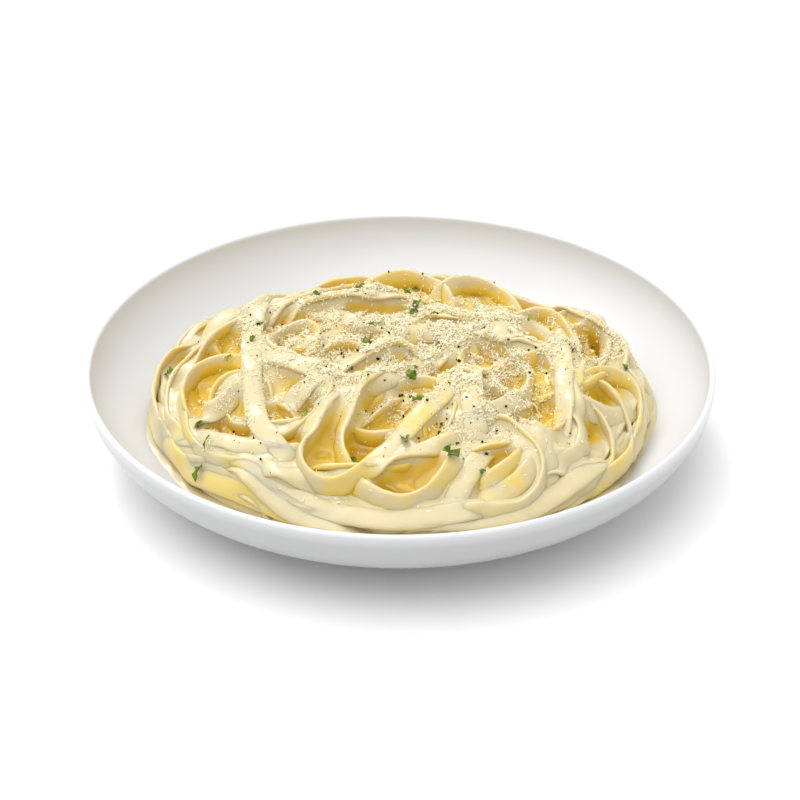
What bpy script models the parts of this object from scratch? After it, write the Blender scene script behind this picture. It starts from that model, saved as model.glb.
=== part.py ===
"""Fettuccine alfredo in its pasta bowl: a rimless white bowl, the heap of noodles that fills it
and the skirt of cream sauce that has spread from the heap's foot onto the bowl's wall.

Row frame: metres, +Z up, the origin in the middle of the foot ring's underside. -Y is the front.
"""

import math

import bmesh
import bpy

# ---- Driving sizes ---------------------------------------------------------------------------

RIM_RADIUS = 0.120          # the bowl is 240 mm across
BOWL_HEIGHT = 0.0375
LIP_RADIUS = 0.0013         # the lip is a half round, 2.6 mm thick
FOOT_HEIGHT = 0.003
FOOT_RADIUS = 0.0625        # outer edge of the foot ring, where the outer wall starts
FOOT_WIDTH = 0.0045
FLOOR_HEIGHT = 0.0072       # the eating surface in the middle of the bowl
FLOOR_RADIUS = 0.058        # how far that surface stays flat

CONTACT_GAP = 0.0003        # clearance that touching solids keep

HEAP_RADIUS = 0.0950        # mean radius of the noodles' outline
HEAP_CROWN = 0.0465         # height of the heap's top above the table
HEAP_EDGE = 0.0045          # thickness of the heap where it ends on the wall: two strands
HEAP_SHOULDER = 3.2         # larger is a flatter top with steeper sides
HEAP_SIDE = 1.7             # larger is a rounder shoulder

STRAND_PITCH = 0.0145       # from one ridge of noodles to the next
STRAND_RELIEF = 0.0016      # half the depth between two ridges

SAUCE_WIDTH = 0.0028        # mean width of the sauce skirt
SAUCE_INNER = 0.0020        # its thickness against the noodles
SAUCE_OUTER = 0.0005        # its thickness where it thins out on the wall

# ---- Fineness of the faceted solids ----------------------------------------------------------

BOWL_STEPS = 64
HEAP_STEPS = 80             # shared by the heap and the sauce, so that their walls run parallel
HEAP_RINGS = 24
FLOOR_RINGS = 5
OUTER_WALL_STEPS = 8
INNER_WALL_STEPS = 12
LIP_STEPS = 4

# Each wave is (waves round the circle, share of the radius, phase in radians).
OUTLINE_WAVES = ((1, 0.012, 1.57), (2, 0.022, 0.3), (3, 0.020, -1.83), (5, 0.014, -1.1), (9, 0.008, 0.7))
SAUCE_WAVES = ((1, 0.42, 1.57), (4, 0.16, 3.14), (7, 0.08, 1.3))

# Middles of the nests that the noodles were twirled into, as shares of the heap's radius.
NEST_MIDDLES = ((-0.62, 0.12), (-0.30, -0.55), (0.08, -0.20), (0.55, -0.35), (0.62, 0.30), (0.05, 0.50), (-0.35, 0.52))


# ---- Shape rules -----------------------------------------------------------------------------

def waves(angle, terms):
    """One plus a sum of cosines round the circle."""
    return 1.0 + sum(share * math.cos(count * angle + phase) for count, share, phase in terms)


def quarter_ellipse(start, end, steps):
    """Points from start, where the curve runs level, to end, where it stands upright."""
    points = []
    for i in range(steps + 1):
        turn = 0.5 * math.pi * i / steps
        r = start[0] + (end[0] - start[0]) * math.sin(turn)
        z = end[1] + (start[1] - end[1]) * math.cos(turn)
        points.append((r, z))
    return points


def wall_height(r):
    """Height of the bowl's inner surface at radius r: flat, then a quarter ellipse up to the lip."""
    lip_level = BOWL_HEIGHT - LIP_RADIUS
    reach = RIM_RADIUS - 2.0 * LIP_RADIUS - FLOOR_RADIUS
    along = min(1.0, max(0.0, (r - FLOOR_RADIUS) / reach))
    return lip_level - (lip_level - FLOOR_HEIGHT) * math.sqrt(1.0 - along * along)


def heap_radius(angle):
    """Uneven outline of the noodles, seen from above."""
    return HEAP_RADIUS * waves(angle, OUTLINE_WAVES)


def nest_relief(x, y):
    """Rings of strands round the nearest nest middle, between -1 and 1."""
    distance = min(math.hypot(x - a * HEAP_RADIUS, y - b * HEAP_RADIUS) for a, b in NEST_MIDDLES)
    return math.cos(2.0 * math.pi * distance / STRAND_PITCH)


def heap_height(share, angle):
    """Top of the heap at a share of the way from its middle to its outline."""
    outline = heap_radius(angle)
    edge = wall_height(outline) + CONTACT_GAP + HEAP_EDGE
    dome = (1.0 - share ** HEAP_SHOULDER) ** (1.0 / HEAP_SIDE)
    r = share * outline
    relief = STRAND_RELIEF * nest_relief(r * math.cos(angle), r * math.sin(angle))
    return edge + (HEAP_CROWN - STRAND_RELIEF - edge) * dome + relief * min(1.0, 3.0 * dome)


# ---- Mesh helpers ----------------------------------------------------------------------------

def material(name, colour, roughness):
    made = bpy.data.materials.new(name)
    made.use_nodes = True
    shader = made.node_tree.nodes["Principled BSDF"]
    shader.inputs["Base Color"].default_value = (*colour, 1.0)
    shader.inputs["Roughness"].default_value = roughness
    shader.inputs["Metallic"].default_value = 0.0
    return made


def add_object(name, mesh_builder, finish):
    """Turns a bmesh into a named object with its faces pointing out."""
    bmesh.ops.recalc_face_normals(mesh_builder, faces=mesh_builder.faces)
    mesh = bpy.data.meshes.new(name)
    mesh_builder.to_mesh(mesh)
    mesh_builder.free()
    mesh.shade_smooth()
    mesh.set_sharp_from_angle(angle=math.radians(40.0))
    mesh.materials.append(finish)
    made = bpy.data.objects.new(name, mesh)
    bpy.context.scene.collection.objects.link(made)
    return made


def polar(r, angle, z):
    return (r * math.cos(angle), r * math.sin(angle), z)


def closed_loops(builder, loops, wrap):
    """Skins a stack of equal loops of points. With wrap, the last loop joins the first."""
    rows = [[builder.verts.new(point) for point in loop] for loop in loops]
    pairs = list(zip(rows, rows[1:]))
    if wrap:
        pairs.append((rows[-1], rows[0]))
    for low, high in pairs:
        count = len(low)
        for i in range(count):
            j = (i + 1) % count
            builder.faces.new((low[i], low[j], high[j], high[i]))
    return rows


def cap(builder, loop, middle):
    """Closes a loop with a fan to its middle point."""
    hub = builder.verts.new(middle)
    for i, corner in enumerate(loop):
        builder.faces.new((corner, loop[(i + 1) % len(loop)], hub))


# ---- The pieces ------------------------------------------------------------------------------

def bowl_profile():
    """The bowl's section from the middle of its underside, round the lip, to the middle of its floor."""
    lip_level = BOWL_HEIGHT - LIP_RADIUS
    lip_middle = RIM_RADIUS - LIP_RADIUS
    foot_inner = FOOT_RADIUS - FOOT_WIDTH
    points = [(0.0, FOOT_HEIGHT), (foot_inner - 0.0015, FOOT_HEIGHT), (foot_inner, 0.0)]
    points.append((FOOT_RADIUS - 0.0012, 0.0))
    points += quarter_ellipse((FOOT_RADIUS, FOOT_HEIGHT), (RIM_RADIUS, lip_level), OUTER_WALL_STEPS)
    for i in range(1, LIP_STEPS):
        turn = math.pi * i / LIP_STEPS
        points.append((lip_middle + LIP_RADIUS * math.cos(turn), lip_level + LIP_RADIUS * math.sin(turn)))
    inner_wall = quarter_ellipse(
        (FLOOR_RADIUS, FLOOR_HEIGHT), (RIM_RADIUS - 2.0 * LIP_RADIUS, lip_level), INNER_WALL_STEPS
    )
    points += reversed(inner_wall)
    points.append((0.0, FLOOR_HEIGHT))
    return points


def make_bowl(finish):
    """The rimless bowl, its section spun round Z."""
    builder = bmesh.new()
    section = [builder.verts.new((r, 0.0, z)) for r, z in bowl_profile()]
    edges = [builder.edges.new(pair) for pair in zip(section, section[1:])]
    bmesh.ops.spin(
        builder,
        geom=section + edges,
        cent=(0.0, 0.0, 0.0),
        axis=(0.0, 0.0, 1.0),
        angle=2.0 * math.pi,
        steps=BOWL_STEPS,
        use_merge=True,
    )
    bmesh.ops.remove_doubles(builder, verts=builder.verts, dist=1e-6)
    return add_object("bowl", builder, finish)


def make_noodles(finish):
    """The heap: a flat-topped dome with nests of strands, resting on the bowl's inner surface."""
    angles = [2.0 * math.pi * i / HEAP_STEPS for i in range(HEAP_STEPS)]
    loops = []
    for ring in range(1, FLOOR_RINGS + 1):
        share = ring / FLOOR_RINGS
        radii = [share * heap_radius(angle) for angle in angles]
        loops.append([polar(r, a, wall_height(r) + CONTACT_GAP) for r, a in zip(radii, angles)])
    for ring in range(HEAP_RINGS, 0, -1):
        share = math.sin(0.5 * math.pi * ring / HEAP_RINGS)
        loops.append([polar(share * heap_radius(a), a, heap_height(share, a)) for a in angles])
    builder = bmesh.new()
    rows = closed_loops(builder, loops, wrap=False)
    cap(builder, rows[0], (0.0, 0.0, FLOOR_HEIGHT + CONTACT_GAP))
    cap(builder, rows[-1], (0.0, 0.0, heap_height(0.0, 0.0)))
    return add_object("noodles", builder, finish)


def make_sauce(finish):
    """The skirt of cream round the heap's foot: thick against the noodles, thin on the wall."""
    angles = [2.0 * math.pi * i / HEAP_STEPS for i in range(HEAP_STEPS)]
    inner = [heap_radius(a) + CONTACT_GAP for a in angles]
    width = [SAUCE_WIDTH * waves(a, SAUCE_WAVES) for a in angles]
    loops = []
    for share in (0.0, 0.35, 0.7, 1.0):
        radii = [r + share * w for r, w in zip(inner, width)]
        loops.append([polar(r, a, wall_height(r) + CONTACT_GAP) for r, a in zip(radii, angles)])
    for share in (1.0, 0.7, 0.35, 0.0):
        radii = [r + share * w for r, w in zip(inner, width)]
        thick = SAUCE_OUTER + (SAUCE_INNER - SAUCE_OUTER) * math.sqrt(1.0 - share * share)
        loops.append([polar(r, a, wall_height(r) + CONTACT_GAP + thick) for r, a in zip(radii, angles)])
    builder = bmesh.new()
    closed_loops(builder, loops, wrap=True)
    return add_object("sauce", builder, finish)


def main():
    for old in list(bpy.data.objects):
        bpy.data.objects.remove(old)
    make_bowl(material("white_porcelain", (0.90, 0.90, 0.89), 0.18))
    make_noodles(material("fettuccine", (0.90, 0.74, 0.42), 0.42))
    make_sauce(material("cream_sauce", (0.93, 0.86, 0.69), 0.35))


main()
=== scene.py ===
"""Fettuccine alfredo: ribbon noodles laid strand by strand in a white bowl, with cream and toppings.

The noodles are laid on a height grid, each on what lies below it. Cream then fills the narrow gaps,
and cheese, parsley and pepper are strewn on top. Lengths are in millimetres until a mesh is made.
"""
import math

import bpy
import numpy as np
from bpy.props import FloatProperty, FloatVectorProperty, IntProperty
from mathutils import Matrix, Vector


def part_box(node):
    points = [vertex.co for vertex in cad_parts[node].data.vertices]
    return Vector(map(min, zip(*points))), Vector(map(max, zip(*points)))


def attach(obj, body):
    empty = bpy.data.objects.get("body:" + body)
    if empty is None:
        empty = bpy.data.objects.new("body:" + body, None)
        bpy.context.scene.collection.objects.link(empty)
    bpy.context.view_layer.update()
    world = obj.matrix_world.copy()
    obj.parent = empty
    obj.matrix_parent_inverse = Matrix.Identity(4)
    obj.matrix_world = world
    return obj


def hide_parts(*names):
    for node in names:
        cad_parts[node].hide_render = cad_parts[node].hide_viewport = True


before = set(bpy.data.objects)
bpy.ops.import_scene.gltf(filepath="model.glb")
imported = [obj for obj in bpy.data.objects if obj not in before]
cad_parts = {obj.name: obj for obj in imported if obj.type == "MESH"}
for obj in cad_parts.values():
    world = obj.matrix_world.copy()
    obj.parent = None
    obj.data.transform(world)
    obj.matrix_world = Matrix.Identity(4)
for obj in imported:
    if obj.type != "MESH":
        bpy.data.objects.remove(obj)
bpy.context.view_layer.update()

bl_info = {
    "name": "Fettuccine Alfredo",
    "version": (1, 0, 0),
    "blender": (4, 5, 0),
    "location": "View3D > Sidebar > Pasta",
    "description": "Builds a bowl of fettuccine in cream sauce with cheese, parsley and pepper",
    "category": "Object",
}

BOWL_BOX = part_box("bowl")
MM = 0.001

# ---- Sizes shared by several pieces, in millimetres -------------------------------------------

RIM_RADIUS = BOWL_BOX[1][0] / MM
RIM_HEIGHT = BOWL_BOX[1][2] / MM
LIP_RADIUS = 1.3
FLOOR_HEIGHT = 7.2
FLOOR_RADIUS = 58.0
FOOT_RADIUS = 62.5
FOOT_HEIGHT = 3.0
FOOT_WIDTH = 4.5

CELL = 0.5                      # spacing of the height grid that the noodles are laid on
HALF_SPAN = 120.0               # the grid reaches this far from the middle

HEAP_RADIUS = 95.0
HEAP_CROWN = 45.0
HEAP_EDGE = 4.5                 # thickness of the heap where it ends on the wall
HEAP_SHOULDER = 3.2             # larger is a flatter top with steeper sides
HEAP_SIDE = 1.7                 # larger is a rounder shoulder
OUTLINE_WAVES = ((1, 0.012, 1.57), (2, 0.022, 0.3), (3, 0.020, -1.83), (5, 0.014, -1.1), (9, 0.008, 0.7))

CORE_INSET = 4.0                # the core ends this far inside the heap's outline
CORE_COUNT = 271                # points along a side of the core's grid
WALL_GAP = 0.3                  # the core's clearance from the bowl

SKIRT_INNER = 7.0               # the sauce starts this far inside the heap's outline
SKIRT_OUTER = 1.6               # and ends this far inside it, plus its waving width
SKIRT_WIDTH = 3.8
SKIRT_THICK = 4.4
SKIRT_SINK = 0.3                # its underside lies this far in the bowl's wall, so that no gap shows
SAUCE_WAVES = ((1, 0.85, 1.57), (4, 0.20, 3.14), (7, 0.14, 1.3), (13, 0.08, 0.2))

NOODLE_LOAD = 190000            # triangles a noodle piece may hold

# ---- Settings ----------------------------------------------------------------------------------

class BowlSettings(bpy.types.PropertyGroup):
    """Glaze of the bowl."""
    glaze: FloatVectorProperty(
        name="Glaze", description="Colour of the glazed porcelain", subtype="COLOR", size=3,
        default=(0.66, 0.667, 0.68), min=0.0, max=1.0)
    # The outside colour is darker than the glaze: painted shade on the bowl's outer wall and underside.
    outside: FloatVectorProperty(
        name="Outside", description="Colour of the thinner glaze outside", subtype="COLOR", size=3,
        default=(0.42, 0.422, 0.426), min=0.0, max=1.0)
    roughness: FloatProperty(
        name="Roughness", description="Roughness of the glaze", subtype="FACTOR",
        default=0.33, min=0.0, max=1.0)


class NoodleSettings(bpy.types.PropertyGroup):
    """Size, number and colours of the noodles."""
    width: FloatProperty(
        name="Width", description="Width of a cooked noodle", subtype="DISTANCE", unit="LENGTH",
        default=0.0081, min=0.004, max=0.015)
    thickness: FloatProperty(
        name="Thickness", description="Thickness of a cooked noodle", subtype="DISTANCE", unit="LENGTH",
        default=0.0021, min=0.001, max=0.004)
    length: FloatProperty(
        name="Length", description="Length of a whole noodle", subtype="DISTANCE", unit="LENGTH",
        default=0.230, min=0.1, max=0.4)
    strands: IntProperty(
        name="Strands", description="Noodles in the body of the heap, under the ones laid by hand",
        default=64, min=1, max=150)
    seed: IntProperty(name="Seed", description="Another number gives another heap", default=7, min=0)
    pasta: FloatVectorProperty(
        name="Pasta", description="Colour of the bare noodle", subtype="COLOR", size=3,
        default=(0.76, 0.552, 0.080), min=0.0, max=1.0)
    # Hollow is darker than the pasta: painted shade deep between the noodles, over the bare pasta's own
    # golden colour.
    hollow: FloatVectorProperty(
        name="Hollow", description="Colour deep between the noodles", subtype="COLOR", size=3,
        default=(0.60, 0.375, 0.004), min=0.0, max=1.0)


class CreamSettings(bpy.types.PropertyGroup):
    """Colour of the cream and the gaps it fills."""
    colour: FloatVectorProperty(
        name="Cream", description="Colour of the sauce", subtype="COLOR", size=3,
        default=(0.635, 0.54, 0.312), min=0.0, max=1.0)
    gap: FloatProperty(
        name="Filled gap", description="Gaps between noodles up to this wide hold cream",
        subtype="DISTANCE", unit="LENGTH", default=0.0044, min=0.001, max=0.01)


class ToppingSettings(bpy.types.PropertyGroup):
    """Amounts of cheese, parsley and pepper."""
    cheese: IntProperty(
        name="Cheese", description="Crumbs of grated cheese", default=24000, min=0, max=24500)
    parsley: IntProperty(
        name="Parsley", description="Flakes of parsley strewn at random", default=8, min=0, max=200)
    pepper: IntProperty(
        name="Pepper", description="Specks of ground pepper", default=420, min=0, max=2000)
    leaf: FloatVectorProperty(
        name="Leaf", description="Colour of the parsley", subtype="COLOR", size=3,
        default=(0.105, 0.14, 0.003), min=0.0, max=1.0)


class StageSettings(bpy.types.PropertyGroup):
    """Camera and lights."""
    elevation: FloatProperty(
        name="Elevation", description="Angle at which the camera looks down",
        subtype="ANGLE", unit="ROTATION", default=math.radians(31.8))
    distance: FloatProperty(
        name="Distance", description="From the camera to the bowl's middle",
        subtype="DISTANCE", unit="LENGTH", default=0.80, min=0.2)
    lens: FloatProperty(name="Lens", description="Focal length in millimetres", default=92.9, min=10.0)
    key: FloatProperty(
        name="Key light", description="Strength of the broad light from high on the left",
        default=1.7, min=0.0)
    rear: FloatProperty(
        name="Rear light", description="Strength of the smaller light from behind, which makes it shine",
        default=0.75, min=0.0)
    fill: FloatProperty(
        name="Fill light", description="Strength of the white surroundings", default=0.90, min=0.0)

# ---- Small helpers -----------------------------------------------------------------------------

def waves(angle, terms):
    """One plus a sum of cosines round the circle."""
    return 1.0 + sum(share * np.cos(count * angle + phase) for count, share, phase in terms)


def wall_height(r):
    """The bowl's inner surface: level to the floor's edge, then a quarter ellipse up to the lip."""
    lip_level = RIM_HEIGHT - LIP_RADIUS
    reach = RIM_RADIUS - 2.0 * LIP_RADIUS - FLOOR_RADIUS
    along = np.clip((r - FLOOR_RADIUS) / reach, 0.0, 1.0)
    return lip_level - (lip_level - FLOOR_HEIGHT) * np.sqrt(1.0 - along * along)


def heap_radius(angle):
    """Uneven outline of the noodles, seen from above."""
    return HEAP_RADIUS * waves(angle, OUTLINE_WAVES)


def heap_height(x, y):
    """Height that the heap fills out to: a flat-topped dome standing on the bowl's wall."""
    r = np.hypot(x, y)
    outline = heap_radius(np.arctan2(y, x))
    edge = wall_height(outline) + HEAP_EDGE
    share = np.clip(r / outline, 0.0, 1.0)
    dome = edge + (HEAP_CROWN - edge) * (1.0 - share ** HEAP_SHOULDER) ** (1.0 / HEAP_SIDE)
    return np.where(r < outline, dome, wall_height(r))


def ripple(points, size, seed, count=14):
    """Smooth noise in space, about -1 to 1: sine waves of nearly one length in random directions."""
    rng = np.random.default_rng(seed)
    direction = rng.normal(size=(count, points.shape[-1]))
    direction /= np.linalg.norm(direction, axis=1)[:, None]
    direction *= 2.0 * math.pi / (size * rng.uniform(0.7, 1.6, count))[:, None]
    phase = rng.uniform(0.0, 2.0 * math.pi, count)
    return np.sin(points @ direction.T + phase).sum(axis=-1) * 1.6 / math.sqrt(count) / 1.4


def gauss(values, sigma, axis=0):
    """Gaussian smoothing along one axis; sigma counts samples, and the ends keep their slope."""
    radius = max(1, int(3.0 * sigma + 0.5))
    kernel = np.exp(-0.5 * (np.arange(-radius, radius + 1) / sigma) ** 2)
    kernel /= kernel.sum()
    values = np.moveaxis(values, axis, 0)
    pad = [(radius, radius)] + [(0, 0)] * (values.ndim - 1)
    wide = np.pad(values, pad, mode="reflect", reflect_type="odd") if len(values) > radius else np.pad(
        values, pad, mode="edge")
    total = sum(weight * wide[i:i + len(values)] for i, weight in enumerate(kernel))
    return np.moveaxis(total, 0, axis)


def disc_offsets(radius):
    """Grid steps within a radius given in millimetres."""
    reach = int(radius / CELL)
    return [(i, j) for i in range(-reach, reach + 1) for j in range(-reach, reach + 1)
            if i * i + j * j <= (radius / CELL) ** 2]


def spread(field, radius, pick=np.maximum):
    """Greatest (or with np.minimum least) height within a radius of each grid point."""
    result = field.copy()
    for i, j in disc_offsets(radius):
        result = pick(result, np.roll(field, (i, j), axis=(0, 1)))
    return result


def closed(field, radius):
    """Fills every hollow that a disc of this radius can't enter."""
    return spread(spread(field, radius), radius, np.minimum)


def smooth_field(field, sigma):
    """Gaussian smoothing of a grid both ways."""
    return gauss(gauss(field, sigma, 0), sigma, 1)


def sample(field, x, y):
    """Bilinear reading of a grid field at points in millimetres."""
    u = np.clip((x + HALF_SPAN) / CELL, 0.0, field.shape[0] - 1.001)
    v = np.clip((y + HALF_SPAN) / CELL, 0.0, field.shape[1] - 1.001)
    i = u.astype(int)
    j = v.astype(int)
    u = u - i
    v = v - j
    low = field[i, j] * (1.0 - v) + field[i, j + 1] * v
    high = field[i + 1, j] * (1.0 - v) + field[i + 1, j + 1] * v
    return low * (1.0 - u) + high * u


def grid_points():
    """X and y of every point of the height grid."""
    axis = np.arange(-HALF_SPAN, HALF_SPAN + 0.5 * CELL, CELL)
    return np.meshgrid(axis, axis, indexing="ij")


def disc_grid(count):
    """A square grid carried onto the unit disc: x times the root of 1 - y*y/2, and y likewise."""
    a, b = np.meshgrid(np.linspace(-1.0, 1.0, count), np.linspace(-1.0, 1.0, count), indexing="ij")
    return a * np.sqrt(1.0 - 0.5 * b * b), b * np.sqrt(1.0 - 0.5 * a * a)


def grid_faces(rows, columns, wrap_rows=False, wrap_columns=False):
    """Quads of a grid whose point (row, column) has the index row * columns + column."""
    i = np.arange(rows if wrap_rows else rows - 1)[:, None]
    j = np.arange(columns if wrap_columns else columns - 1)[None, :]
    i2 = (i + 1) % rows
    j2 = (j + 1) % columns
    quads = np.stack([i * columns + j, i * columns + j2, i2 * columns + j2, i2 * columns + j], axis=-1)
    return quads.reshape(-1, 4)


def grid_edge(rows, columns):
    """Indices of a grid's outermost points, once round."""
    return np.concatenate([
        np.arange(columns), np.arange(1, rows) * columns + columns - 1,
        (rows - 1) * columns + np.arange(columns - 2, -1, -1), np.arange(rows - 2, 0, -1) * columns])


def around(r, angle, z):
    """Points at radius r, an angle and height z, as x, y and z in the last axis."""
    return np.stack([r * np.cos(angle), r * np.sin(angle), z], axis=-1)


def make_piece(name, points, quads, triangles=None, finish=None, attributes=None, smooth=True):
    """A mesh object at the origin from points in millimetres, quads, triangles and point attributes."""
    mesh = bpy.data.meshes.new(name)
    groups = [np.asarray(quads).reshape(-1, 4)]
    if triangles is not None and len(triangles):
        groups.append(np.asarray(triangles).reshape(-1, 3))
    loops = np.concatenate([group.ravel() for group in groups]).astype(np.int32)
    sizes = np.concatenate([np.full(len(group), group.shape[1]) for group in groups])
    starts = np.concatenate([[0], np.cumsum(sizes)[:-1]]).astype(np.int32)
    mesh.vertices.add(len(points))
    mesh.vertices.foreach_set("co", (np.asarray(points) * MM).astype(np.float32).ravel())
    mesh.loops.add(len(loops))
    mesh.loops.foreach_set("vertex_index", loops)
    mesh.polygons.add(len(sizes))
    mesh.polygons.foreach_set("loop_start", starts)
    mesh.update(calc_edges=True)
    mesh.validate()
    for key, values in (attributes or {}).items():
        layer = mesh.attributes.new(key, "FLOAT", "POINT")
        layer.data.foreach_set("value", np.asarray(values, dtype=np.float32))
    mesh.polygons.foreach_set("use_smooth", np.full(len(mesh.polygons), smooth))
    piece = bpy.data.objects.new(name, mesh)
    bpy.context.scene.collection.objects.link(piece)
    if finish:
        mesh.materials.append(finish)
    return piece

# ---- Materials ---------------------------------------------------------------------------------

def mottle_group():
    """Node group: fine and coarse noise, as a mask for colour and a height for bump."""
    name = "Mottle"
    if name in bpy.data.node_groups:
        return bpy.data.node_groups[name]
    group = bpy.data.node_groups.new(name, "ShaderNodeTree")
    for label, default in (("Coarse", 90.0), ("Fine", 700.0), ("Share", 0.5)):
        socket = group.interface.new_socket(label, in_out="INPUT", socket_type="NodeSocketFloat")
        socket.default_value = default
    group.interface.new_socket("Mask", in_out="OUTPUT", socket_type="NodeSocketFloat")
    group.interface.new_socket("Height", in_out="OUTPUT", socket_type="NodeSocketFloat")
    nodes = group.nodes
    links = group.links
    inside = nodes.new("NodeGroupInput")
    outside = nodes.new("NodeGroupOutput")
    place = nodes.new("ShaderNodeTexCoord")
    coarse = nodes.new("ShaderNodeTexNoise")
    fine = nodes.new("ShaderNodeTexNoise")
    coarse.inputs["Detail"].default_value = 3.0
    fine.inputs["Detail"].default_value = 4.0
    for noise, label in ((coarse, "Coarse"), (fine, "Fine")):
        links.new(place.outputs["Object"], noise.inputs["Vector"])
        links.new(inside.outputs[label], noise.inputs["Scale"])
    blend = nodes.new("ShaderNodeMix")
    links.new(inside.outputs["Share"], blend.inputs["Factor"])
    links.new(coarse.outputs["Fac"], blend.inputs[2])
    links.new(fine.outputs["Fac"], blend.inputs[3])
    links.new(blend.outputs[0], outside.inputs["Height"])
    links.new(coarse.outputs["Fac"], outside.inputs["Mask"])
    return group


def new_material(name, **sockets):
    """A material with its Principled shader's own sockets set; returns it with its nodes and links."""
    made = bpy.data.materials.new(name)
    made.use_nodes = True
    nodes = made.node_tree.nodes
    shader = nodes["Principled BSDF"]
    for label, value in sockets.items():
        shader.inputs[label.replace("_", " ")].default_value = value
    return made, nodes, made.node_tree.links, shader


def add_mottle(nodes, coarse, fine, share):
    """The mottle group with its two scales and the share of the fine one."""
    node = nodes.new("ShaderNodeGroup")
    node.node_tree = mottle_group()
    node.inputs["Coarse"].default_value = coarse
    node.inputs["Fine"].default_value = fine
    node.inputs["Share"].default_value = share
    return node


def add_bump(nodes, links, shader, height, strength, distance):
    """Bump from a height, on the shader's normal."""
    bump = nodes.new("ShaderNodeBump")
    bump.inputs["Strength"].default_value = strength
    bump.inputs["Distance"].default_value = distance
    links.new(height, bump.inputs["Height"])
    links.new(bump.outputs["Normal"], shader.inputs["Normal"])


def add_ramp(nodes, links, factor, stops):
    """Colour ramp through (place, colour) stops."""
    ramp = nodes.new("ShaderNodeValToRGB")
    links.new(factor, ramp.inputs["Fac"])
    elements = ramp.color_ramp.elements
    while len(elements) < len(stops):
        elements.new(0.5)
    for element, (place, colour) in zip(elements, stops):
        element.position = place
        element.color = (*colour, 1.0)
    return ramp.outputs["Color"]


def add_mix(nodes, links, factor, first, second, mode="MIX"):
    """Colour mix; factor, first and second are sockets or plain values."""
    mix = nodes.new("ShaderNodeMix")
    mix.data_type = "RGBA"
    mix.blend_type = mode
    for socket, value in ((mix.inputs[0], factor), (mix.inputs[6], first), (mix.inputs[7], second)):
        if isinstance(value, bpy.types.NodeSocket):
            links.new(value, socket)
        elif isinstance(value, (int, float)):
            socket.default_value = value
        else:
            socket.default_value = (*value, 1.0)
    return mix.outputs[2]


def add_range(nodes, links, value, low, high, to_low=0.0, to_high=1.0):
    """A value carried from one range to another."""
    node = nodes.new("ShaderNodeMapRange")
    links.new(value, node.inputs["Value"])
    node.inputs["From Min"].default_value = low
    node.inputs["From Max"].default_value = high
    node.inputs["To Min"].default_value = to_low
    node.inputs["To Max"].default_value = to_high
    return node.outputs["Result"]


def attribute(nodes, name):
    """A point attribute of the mesh as a number."""
    node = nodes.new("ShaderNodeAttribute")
    node.attribute_name = name
    return node.outputs["Fac"]


def add_roughness(nodes, links, shader, value, low, high, smooth, rough):
    """Roughness that goes from smooth to rough as a value goes from low to high."""
    links.new(add_range(nodes, links, value, low, high, smooth, rough), shader.inputs["Roughness"])


def blend(first, second, share):
    """A colour on the way from the first to the second."""
    return tuple((1.0 - share) * a + share * b for a, b in zip(first, second))


# The moist, slightly see-through surface that the noodles and the cream share.
MOIST = {
    "Subsurface_Weight": 0.4, "Subsurface_Scale": 0.003, "Subsurface_Radius": (1.0, 0.8, 0.45),
    "Coat_Weight": 0.6, "Coat_Roughness": 0.16, "IOR": 1.42, "Specular_IOR_Level": 0.45}


def porcelain_material(settings):
    """White glaze: greyer outside than inside as painted shade, with a slow waver in its colour and gloss."""
    made, nodes, links, shader = new_material(
        "white_porcelain", Roughness=settings.roughness, Coat_Weight=0.25, Coat_Roughness=0.3, IOR=1.5,
        Specular_IOR_Level=0.4)
    mottle = add_mottle(nodes, 14.0, 60.0, 0.2)
    glaze = tuple(settings.glaze)
    inside = add_mix(nodes, links, mottle.outputs["Mask"], glaze, tuple(0.985 * c for c in glaze))
    # Painted shade: where the outside attribute is 1, the darker outside colour stands in for the shade on
    # the outer wall.
    tone = add_mix(nodes, links, attribute(nodes, "outside"), inside, tuple(settings.outside))
    links.new(tone, shader.inputs["Base Color"])
    add_roughness(
        nodes, links, shader, mottle.outputs["Height"], 0.3, 0.7,
        settings.roughness - 0.03, settings.roughness + 0.04)
    return made


def noodle_material(noodle, cream):
    """Cooked noodle under cream: cream on what is coated, darker and more golden where it lies deep, which is
    painted shade, with a moist gloss.
    """
    made, nodes, links, shader = new_material("sauced_noodle", **MOIST)
    pasta = tuple(noodle.pasta)
    coat = tuple(cream.colour)
    half = blend(pasta, coat, 0.35)
    mottle = add_mottle(nodes, 130.0, 900.0, 0.45)
    depth = attribute(nodes, "depth")
    hollow = tuple(noodle.hollow)
    # Painted shade: the deeper below the heap's skin, the darker and more golden the bare colour.
    bare = add_ramp(nodes, links, depth, (
        (0.0, half), (0.16, pasta), (0.42, blend(pasta, hollow, 0.6)), (0.72, hollow)))
    # The coat share is lowered deep in the heap, so more of the painted shade shows there.
    wet = attribute(nodes, "coat")
    patch = nodes.new("ShaderNodeMath")
    patch.operation = "MULTIPLY_ADD"
    links.new(mottle.outputs["Mask"], patch.inputs[0])
    patch.inputs[1].default_value = 0.9
    links.new(wet, patch.inputs[2])
    covered = add_range(nodes, links, patch.outputs[0], 0.55, 1.15)
    links.new(add_mix(nodes, links, covered, bare, coat), shader.inputs["Base Color"])
    add_roughness(nodes, links, shader, covered, 0.0, 1.0, 0.30, 0.42)
    add_bump(nodes, links, shader, mottle.outputs["Height"], 0.25, 0.0007)
    return made


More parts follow.
